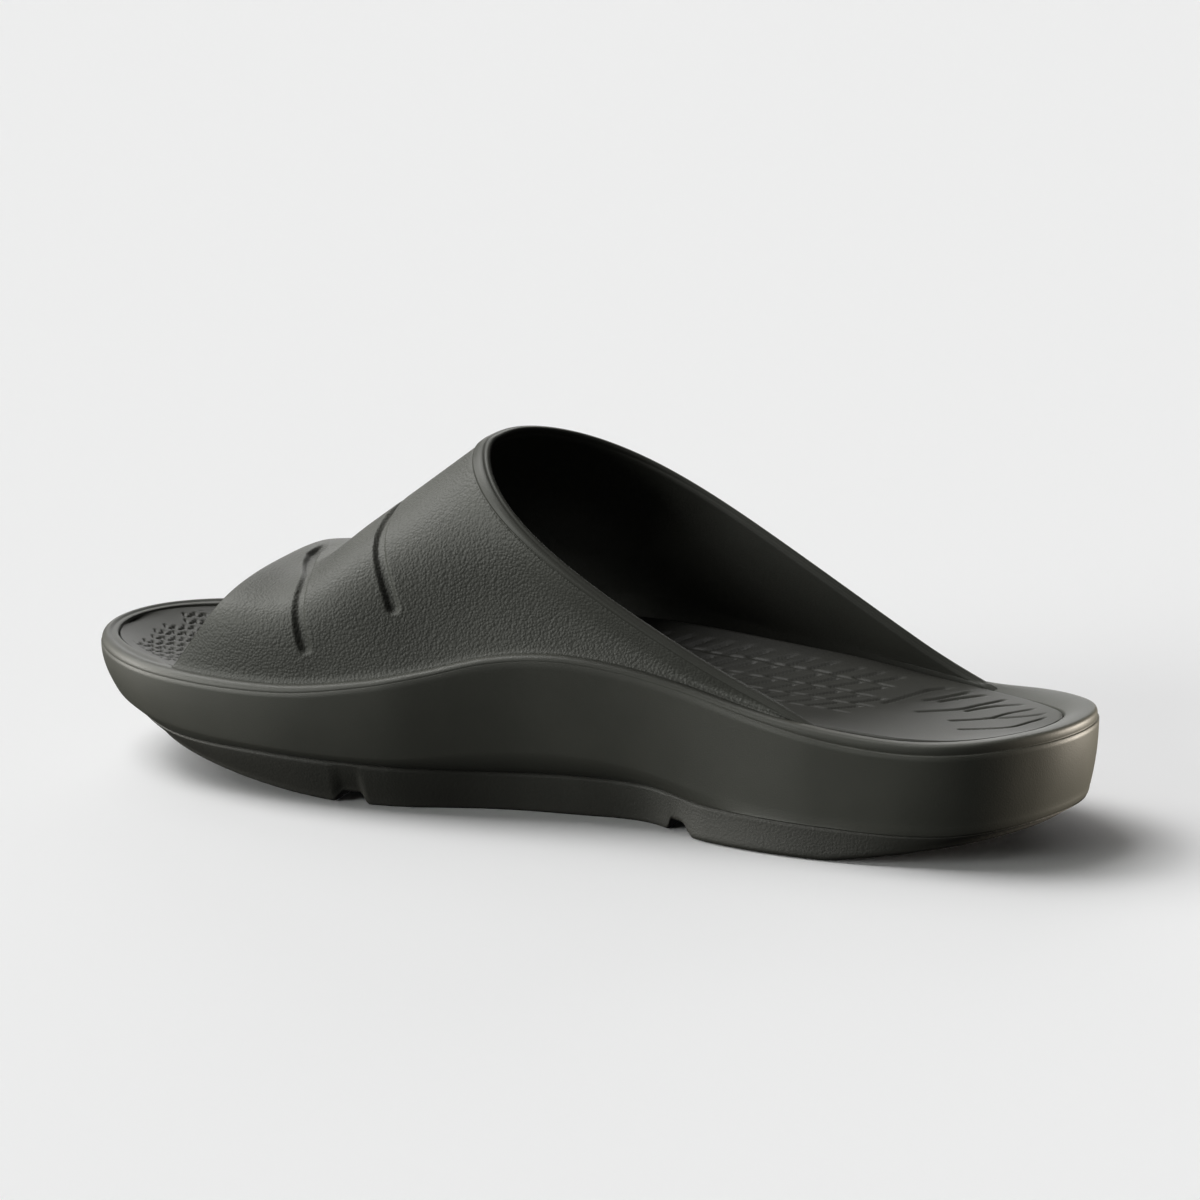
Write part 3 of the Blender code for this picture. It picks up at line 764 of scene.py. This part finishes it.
def footbed_top(points, share, start, end):
    """Heights of the dished footbed, with its grooves."""
    height = RIM_HEIGHT * curve(column(FOOTBED, "middle"), share_along(points[..., 0]))
    edge = straight(points, share, start, end)
    return height + (edge - height) * np.abs(2 * share - 1) ** DISH_POWER + relief(points, share)


def make_insole():
    sole = Sole(INSOLE_STATIONS)
    shell = Shell()
    bottom = shell.add(sole.ring(insole_inset, lambda a, w: recess_floor(a) + JOINT_GAP))
    edge = shell.add(sole.ring(insole_inset, lambda a, w: footbed_edge(a, w) - BRIM_HEIGHT))
    brim = shell.add(sole.ring(lambda a, w: insole_inset(a) + BRIM_INSET, footbed_edge))
    shell.rows([bottom, edge, brim])
    shell.span(bottom, INSOLE_FLOOR_RUNGS, straight, flip=True)
    shell.span(brim, INSOLE_RUNGS, footbed_top)
    thing = shell.build("footbed_shell", [FOOT])
    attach(thing, "root")
    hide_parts("insole")
    return thing


# Grooves of the footbed seen from above, in millimetres: long waves at the heel, then the short lines of
# its middle with the links between them, and the scales at the toe, which repeat. Strength is a share
# of the relief's depth.
HEEL_WAVES = [
    [(-92, -3), (-95, -4.8), (-102.2, -9.5), (-106.1, -14.5), (-111, -20.4), (-114, -23)],
    [(-103, 1), (-106.6, -0.9), (-112.3, -4.4), (-116.1, -9.6), (-122.8, -14.2)],
    [(-108, 8), (-111.9, 6.5), (-120.3, 3.1), (-124.1, -2), (-127, -5.5)],
    [(-104, -8), (-106.7, -11.2), (-111.4, -15.1), (-118.8, -17.8), (-121, -19)],
    [(-111, -4), (-114.9, -4.9), (-122.3, -7.4), (-127, -9.6), (-129.6, -11.9)],
    [(-89, -20), (-93.1, -23.5), (-98.6, -27.9), (-102, -30)],
    [(-91, -12.5), (-94.4, -15.8), (-99.2, -22.2), (-103, -27.4)],
    [(-95, -13), (-98.3, -16.8), (-105.8, -23.3), (-113.4, -25.7)],
    [(-82, -6), (-84, -9.6), (-90, -20.3), (-94.3, -24)],
]
HEEL_STRENGTH = 0.9
LINE_STEPS = ((-6.3, 0.5), (-3.4, -8.0))
LINE_REGION = ((-76, 92), (-30, 12))
SCALE = [(2.4, -1.5), (1.0, 0.2), (0, 0), (-0.4, -1.0), (0.1, -2.4)]
Pattern = namedtuple("Pattern", "shape steps region strength")
PATTERNS = [
    Pattern([(0, 0), (-3.5, -3.2), (-7.0, -6.6)], LINE_STEPS, LINE_REGION, 1.0),
    Pattern([(0, 0), (-3.1, 0.4), (-6.3, 0.6)], LINE_STEPS, LINE_REGION, 0.4),
    Pattern(SCALE, ((2.3, 1.7), (-2.2, 4.2)), ((105, 128), (-22, 32)), 0.65),
]

# Each copy of a shape is off its lattice point by up to this many millimetres, by waves over both steps
JITTER = 0.4
JITTER_ALONG = (1.7, 2.9)
JITTER_ACROSS = (2.3, -1.3)

# How quickly a groove gets deep from its ends, and the share of its depth that the ends keep
LINE_FULLNESS = 3.0
LINE_END = 0.35

RELIEF_DEPTH = 0.85 * MM
RELIEF_WIDTH = 1.6 * MM
RELIEF_MARGIN = 3.2 * MM


def jitter(waves, i, j):
    return JITTER * math.sin(waves[0] * i + waves[1] * j)


def repeated(pattern):
    """Copies of a pattern's shape at the points of its lattice in its region."""
    (left, right), (low, high) = pattern.region
    (ax, ay), (bx, by) = pattern.steps
    reach = int(max(right - left, high - low) / 2) + 1
    copies = []
    for i in range(-reach, reach + 1):
        for j in range(-reach, reach + 1):
            x = (left + right) / 2 + i * ax + j * bx + jitter(JITTER_ALONG, i, j)
            y = (low + high) / 2 + i * ay + j * by + jitter(JITTER_ACROSS, i, j)
            if left <= x <= right and low <= y <= high:
                copies.append([(x + dx, y + dy) for dx, dy in pattern.shape])
    return copies


def relief_lines():
    """Places along the footbed's grooves, in metres, with the strength of each."""
    families = [(HEEL_WAVES, HEEL_STRENGTH)]
    families += [(repeated(pattern), pattern.strength) for pattern in PATTERNS]
    places, strengths = [], []
    for lines, strength in families:
        for line in lines:
            at = np.linspace(0, len(line) - 1, LINE_SAMPLES * len(line))
            x = curve(list(enumerate(p[0] for p in line)), at)
            y = curve(list(enumerate(p[1] for p in line)), at)
            full = np.clip(LINE_FULLNESS * np.sin(math.pi * at / at[-1]) + LINE_END, 0, 1)
            places += list(zip(x * MM, y * MM))
            strengths += list(strength * full)
    return places, strengths


def relief(points, share):
    """Heights that the footbed's grooves add at points of its top, which are 0 or less."""
    places, strengths = relief_lines()
    tree = KDTree(len(places))
    for index, (x, y) in enumerate(places):
        tree.insert((x, y, 0), index)
    tree.balance()
    depth = np.zeros(points.shape[:2])
    strengths = np.array(strengths)
    for i in range(points.shape[0]):
        found = [tree.find((x, y, 0)) for x, y in points[i, :, :2]]
        gap = np.array([near[2] for near in found])
        power = strengths[[near[1] for near in found]]
        depth[i] = power * (1 - smooth_step(gap / (RELIEF_WIDTH / 2)))
    width = np.abs(points[:, :1, 1] - points[:, -1:, 1])
    margin = np.minimum(share, 1 - share) * width
    return -RELIEF_DEPTH * depth * smooth_step((margin - RELIEF_MARGIN) / RELIEF_MARGIN)


# Upper
def strap_value(name, share):
    return curve(column(STRAP, name), share)


FINE = Sole(FINE_STATIONS)
FOOT_LINES = {side: FINE.half(side, RIM_WALL + JOINT_GAP) for side in (1, -1)}


def arch_half(share, side):
    """Points of one half of a strap section, from the rim up to the crest."""
    hand, weight = ("medial", 1.0) if side > 0 else ("lateral", 0.0)
    crest = np.array([
        (strap_value("crest_along", share) - 0.5) * LENGTH,
        strap_value("crest_shift", share) * BALL_WIDTH / 2,
        strap_value("crest_height", share) * INSTEP_HEIGHT,
    ])
    along = strap_value(hand + "_along", share)
    foot_x = (along - 0.5) * LENGTH
    foot = np.array([foot_x, np.interp(foot_x, *FOOT_LINES[side]), rim_height(along, weight)])
    swell = STRAP_SWELL * strap_value("swell_" + hand, share)
    scoop = strap_value("scoop_" + hand, share)
    power = 2 / strap_value("square_" + hand, share)
    turn = np.linspace(0, math.pi / 2, ARCH_SAMPLES + 1)
    rise = np.sin(turn) ** power
    reach = np.clip(np.cos(turn), 0, None) ** power
    run = rise + scoop * rise * (1 - rise)
    low = np.exp(-rise / TAIL_RISE)
    x = foot[0] + (crest[0] - foot[0]) * run
    x -= TAIL_REACH * smooth_step((share - TAIL_START) / (1 - TAIL_START)) * low
    sink = TAIL_SINK * smooth_step((share - TAIL_SINK_START) / (1 - TAIL_SINK_START))
    foot_y = foot[1] + (np.interp(x, *FOOT_LINES[side]) - foot[1]) * low
    foot_z = foot[2] + (rim_height(share_along(x), weight) - foot[2]) * low
    return np.stack([
        x,
        crest[1] + (foot_y - crest[1]) * reach + side * swell * np.sin(2 * turn) ** 2,
        foot_z + (crest[2] - foot_z) * rise - sink * low,
    ], axis=1)


def resample(points, shares):
    """Points at shares of a polyline's length."""
    lengths = np.concatenate([[0], np.cumsum(np.linalg.norm(np.diff(points, axis=0), axis=1))])
    at = np.asarray(shares) * lengths[-1]
    return np.stack([np.interp(at, lengths, points[:, k]) for k in range(3)], axis=-1)


def strap_section(share):
    """Points of a strap section from foot to foot, with a straight skirt down to the recess at each."""
    halves = []
    for side in (1, -1):
        half = resample(arch_half(share, side), np.linspace(0, 1, STRAP_ROWS + 1))
        floor = recess_floor(share_along(half[0, 0])) + JOINT_GAP
        skirt = np.repeat(half[:1], SKIRT_ROWS, axis=0)
        skirt[:, 2] = floor + (half[0, 2] - floor) * np.arange(SKIRT_ROWS) / SKIRT_ROWS
        halves.append(np.concatenate([skirt, half]))
    return np.concatenate([halves[0], halves[1][::-1][1:]])


def surface_normals(grid):
    """Outward directions over the strap, level at the skirts."""
    lengthwise = np.gradient(grid, axis=0)
    crosswise = np.gradient(grid, axis=1)
    normals = np.cross(crosswise, lengthwise)
    normals /= np.linalg.norm(normals, axis=2, keepdims=True)
    if normals[0, grid.shape[1] // 2, 2] < 0:
        normals = -normals
    ends = list(range(SKIRT_ROWS)) + list(range(-SKIRT_ROWS, 0))
    normals[:, ends, 2] = 0
    normals[:, ends] /= np.linalg.norm(normals[:, ends], axis=2, keepdims=True)
    return normals


def groove_path(groove):
    """Points along a groove, from its inner end over the crest to its outer end."""
    shares = [
        (-1.0, groove.end_medial), (-0.5, groove.shoulder_medial), (0.0, groove.crest),
        (0.5, groove.shoulder_lateral), (1.0, groove.end_lateral),
    ]
    path = []
    for place in np.linspace(-1, 1, GROOVE_STEPS + 1):
        side = 1 if place <= 0 else -1
        reach = groove.reach_medial if side > 0 else groove.reach_lateral
        half = arch_half(float(curve(shares, place)), side)
        path.append(resample(half, [1 - reach * abs(place)])[0])
    return np.array(path)


def strap_columns(sections, far):
    """Points over the strap from its front edge to its collar, and how far each is from the collar."""
    rows = sections.shape[1]
    grid = np.empty((FRONT_COLUMNS + STRAP_COLUMNS + BACK_COLUMNS + len(far), rows, 3))
    edge_distance = np.empty(grid.shape[:2])
    for row in range(rows):
        line = sections[:, row]
        length = np.linalg.norm(np.diff(line, axis=0), axis=1).sum()
        shares = np.concatenate([
            np.linspace(0, GROOVE_ZONE[0], FRONT_COLUMNS, endpoint=False),
            np.linspace(*GROOVE_ZONE, STRAP_COLUMNS, endpoint=False),
            np.linspace(GROOVE_ZONE[1], 1 - far[0] / length, BACK_COLUMNS, endpoint=False),
            1 - far / length,
        ])
        grid[:, row] = resample(line, shares)
        edge_distance[:, row] = (1 - shares) * length
    return grid, edge_distance


def collar_lift(edge_distance, rounding):
    """Height of the border band over the strap, with a dip before it and a rounded edge."""
    band = BORDER_STEP * smooth_step((BORDER_WIDTH + BORDER_RAMP - edge_distance) / BORDER_RAMP)
    dip = np.exp(-(((edge_distance - BORDER_WIDTH - DIP_DISTANCE) / DIP_WIDTH) ** 2))
    return band - DIP_DEPTH * dip - EDGE_ROUND * rounding


def groove_cut(grid, groove):
    """Depth of one groove at every point of the strap."""
    path = groove_path(groove)
    near = np.full(grid.shape[:2], np.inf)
    place = np.zeros(grid.shape[:2])
    for index, (a, b) in enumerate(zip(path, path[1:])):
        along = np.clip(((grid - a) @ (b - a)) / ((b - a) @ (b - a)), 0, 1)
        gap = np.linalg.norm(grid - a - along[..., None] * (b - a), axis=2)
        place = np.where(gap < near, (index + along) / (len(path) - 1), place)
        near = np.minimum(near, gap)
    full = smooth_step((1 - place) / groove.fade)
    width = GROOVE_WIDTH / 2 * (GROOVE_TIP + (1 - GROOVE_TIP) * full)
    inside = np.clip(1 - near / width, 0, 1)
    return GROOVE_DEPTH * full * smooth_step(inside * GROOVE_STEEPNESS)


def lip(outer, inner, edge, inside):
    """Loops of the rounded edge between the outer and the inner face."""
    out = edge - inside
    out /= np.linalg.norm(out, axis=1, keepdims=True)
    loops = []
    for turn in np.radians(LIP_TURNS):
        middle = (outer + inner) / 2 + (outer - inner) / 2 * math.sin(turn)
        loops.append(middle + out * LIP_ROUND * math.cos(turn))
    return loops


def make_upper():
    sections = np.array([strap_section(s) for s in np.linspace(0, 1, STRAP_SECTIONS + 1)])
    far = np.linspace(BORDER_WIDTH + BORDER_MARGIN, 0, BORDER_COLUMNS)
    grid, edge_distance = strap_columns(sections, far)
    normals = surface_normals(grid)
    count = np.arange(grid.shape[1])
    rows_up = np.minimum(count, count[::-1]) - SKIRT_ROWS
    rounding = 1 - np.sqrt(1 - (1 - np.clip(edge_distance / EDGE_ROUND_REACH, 0, 1)) ** 2)
    lift = collar_lift(edge_distance, rounding) * smooth_step(rows_up / LIFT_ROWS)
    for groove in GROOVES:
        lift = lift - groove_cut(grid, groove)
    flare = np.where(rows_up >= 0, STRAP_FLARE * np.exp(-np.maximum(rows_up, 0) / FLARE_ROWS), 0)
    outer = grid + normals * (lift + flare)[..., None]
    inner = grid - normals * (STRAP_WALL - INNER_ROUND * rounding)[..., None]
    front = lip(outer[0], inner[0], grid[0], grid[1])
    back = lip(outer[-1], inner[-1], grid[-1], grid[-2])
    last = len(grid) - 1
    coarse = np.arange(0, last - INNER_EDGE_COLUMNS, INNER_STRIDE)
    close = np.arange(last - INNER_EDGE_COLUMNS, last, INNER_EDGE_STRIDE)
    shell = Shell()
    skin = [shell.add(line) for line in outer]
    lining = [shell.add(line) for line in back]
    lining += [shell.add(inner[i]) for i in np.concatenate([coarse, close, [last]])[::-1]]
    lining += [shell.add(line) for line in front[::-1]]
    border = len(outer) - int(np.sum(far <= BORDER_WIDTH + BORDER_RAMP))
    shell.rows(skin[: border + 1], closed=False, index=0)
    shell.rows(skin[border:] + lining + skin[:1], closed=False, index=1)
    for end in (0, -1):
        loop = [int(line[end]) for line in skin + lining]
        shell.faces.append(loop if end else loop[::-1])
        shell.indices.append(1)
    thing = shell.build("strap_shell", [PEBBLED, SMOOTH])
    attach(thing, "root")
    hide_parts("upper")
    return thing


# Camera, light and floor

# The camera's azimuth counts from the inner side of the foot towards the heel. Its focal length and the
# shift of the frame are in pixels of the picture.
AIM = Vector((-14.25, 0.0, 40.0)) * MM
AZIMUTH = math.radians(23)
ELEVATION = math.radians(15.9)
DISTANCE = 1251.2 * MM
FOCAL_PIXELS = 4665.7
SHIFT_PIXELS = (-38.5, 45.7)
FRAME_PIXELS = 1200
SENSOR = 36
CLIP_START = 50 * MM


def make_camera():
    level = math.cos(ELEVATION)
    back = Vector((-math.sin(AZIMUTH) * level, math.cos(AZIMUTH) * level, math.sin(ELEVATION)))
    right = Vector((-math.cos(AZIMUTH), -math.sin(AZIMUTH), 0))
    up = back.cross(right)
    data = bpy.data.cameras.new("camera")
    data.sensor_width = SENSOR
    data.lens = FOCAL_PIXELS / FRAME_PIXELS * SENSOR
    data.shift_x = SHIFT_PIXELS[0] / FRAME_PIXELS
    data.shift_y = SHIFT_PIXELS[1] / FRAME_PIXELS
    data.clip_start = CLIP_START
    thing = bpy.data.objects.new("camera", data)
    bpy.context.scene.collection.objects.link(thing)
    turn = Matrix((right, up, back)).transposed().to_4x4()
    thing.matrix_world = Matrix.Translation(AIM + back * DISTANCE) @ turn
    bpy.context.scene.camera = thing


# A lamp's azimuth counts from the toe towards the inner side of the foot. Its angles are in degrees, and
# a softbox's lengths in metres. Both softboxes and a lamp marked sole_only light the sole alone.
Lamp = namedtuple("Lamp", "name azimuth elevation spread strength colour sole_only")
LAMPS = [
    Lamp("key", 0, 61, 35, 0.47, (1.0, 1.0, 0.98), False),
    Lamp("toe_high", 0, 40, 35, 0.44, (1.0, 1.0, 0.97), False),
    Lamp("toe_low", 14, 4, 12, 0.45, (1.0, 0.97, 0.92), True),
    Lamp("toe_side", 47, 12, 33, 0.55, (0.98, 1.0, 0.95), False),
    Lamp("back_high", 315, 40, 35, 0.11, (1.0, 1.0, 0.98), False),
    Lamp("back_low", 290, 12, 35, 0.19, (1.0, 1.0, 0.98), False),
]
Softbox = namedtuple("Softbox", "name place aim size power colour")
SOFTBOXES = [
    Softbox("heel_softbox", (-0.365, -0.127, 0.060), (-0.115, 0.0, 0.030), 0.10, 1.8, (1.0, 0.90, 0.77)),
    Softbox("toe_softbox", (0.420, 0.060, 0.110), (0.130, 0.010, 0.030), 0.12, 0.5, (1.0, 0.96, 0.90)),
]


FLOOR_REACH = 8
FLOOR_COLOUR = (0.897, 0.897, 0.920, 1)
FLOOR_ROUGHNESS = 0.9
FLOOR_SPECULAR = 0.2
WORLD_STRENGTH = 0.02


def make_light(name, kind, energy, colour, towards):
    """Light of a kind, towards which the given direction points."""
    data = bpy.data.lights.new(name, kind)
    data.energy = energy
    data.color = colour
    thing = bpy.data.objects.new(name, data)
    bpy.context.scene.collection.objects.link(thing)
    thing.rotation_euler = (-towards).to_track_quat("-Z", "Y").to_euler()
    return thing


def make_softbox(softbox, sole):
    place = Vector(softbox.place)
    towards = place - Vector(softbox.aim)
    thing = make_light(softbox.name, "AREA", softbox.power, softbox.colour, towards)
    thing.data.size = softbox.size
    thing.location = place
    thing.light_linking.receiver_collection = sole


def make_lamp(lamp, sole):
    azimuth, elevation = math.radians(lamp.azimuth), math.radians(lamp.elevation)
    level = math.cos(elevation)
    towards = Vector((math.cos(azimuth) * level, math.sin(azimuth) * level, math.sin(elevation)))
    thing = make_light(lamp.name, "SUN", math.pi * lamp.strength, lamp.colour, towards)
    thing.data.angle = math.radians(lamp.spread)
    if lamp.sole_only:
        thing.light_linking.receiver_collection = sole


def make_floor():
    low, high = -FLOOR_REACH, FLOOR_REACH
    data = bpy.data.meshes.new("floor")
    corners = [(low, low, 0), (high, low, 0), (high, high, 0), (low, high, 0)]
    data.from_pydata(corners, [], [(0, 1, 2, 3)])
    floor = bpy.data.objects.new("floor", data)
    bpy.context.scene.collection.objects.link(floor)
    material = bpy.data.materials.new("floor")
    material.use_nodes = True
    shader = material.node_tree.nodes["Principled BSDF"]
    shader.inputs["Base Color"].default_value = FLOOR_COLOUR
    shader.inputs["Roughness"].default_value = FLOOR_ROUGHNESS
    shader.inputs["Specular IOR Level"].default_value = FLOOR_SPECULAR
    data.materials.append(material)
    floor.visible_diffuse = False
    floor.visible_glossy = False


def make_stage(sole_shells):
    make_floor()
    world = bpy.data.worlds.new("studio")
    bpy.context.scene.world = world
    world.use_nodes = True
    world.node_tree.nodes["Background"].inputs["Color"].default_value = (1, 1, 1, 1)
    world.node_tree.nodes["Background"].inputs["Strength"].default_value = WORLD_STRENGTH
    sole = bpy.data.collections.new("sole")
    for shell in sole_shells:
        sole.objects.link(shell)
    for lamp in LAMPS:
        make_lamp(lamp, sole)
    for softbox in SOFTBOXES:
        make_softbox(softbox, sole)
    bpy.context.scene.view_settings.view_transform = "Standard"


def main():
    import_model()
    make_insole()
    make_upper()
    make_stage([make_midsole(), make_outsole()])
    make_camera()


main()
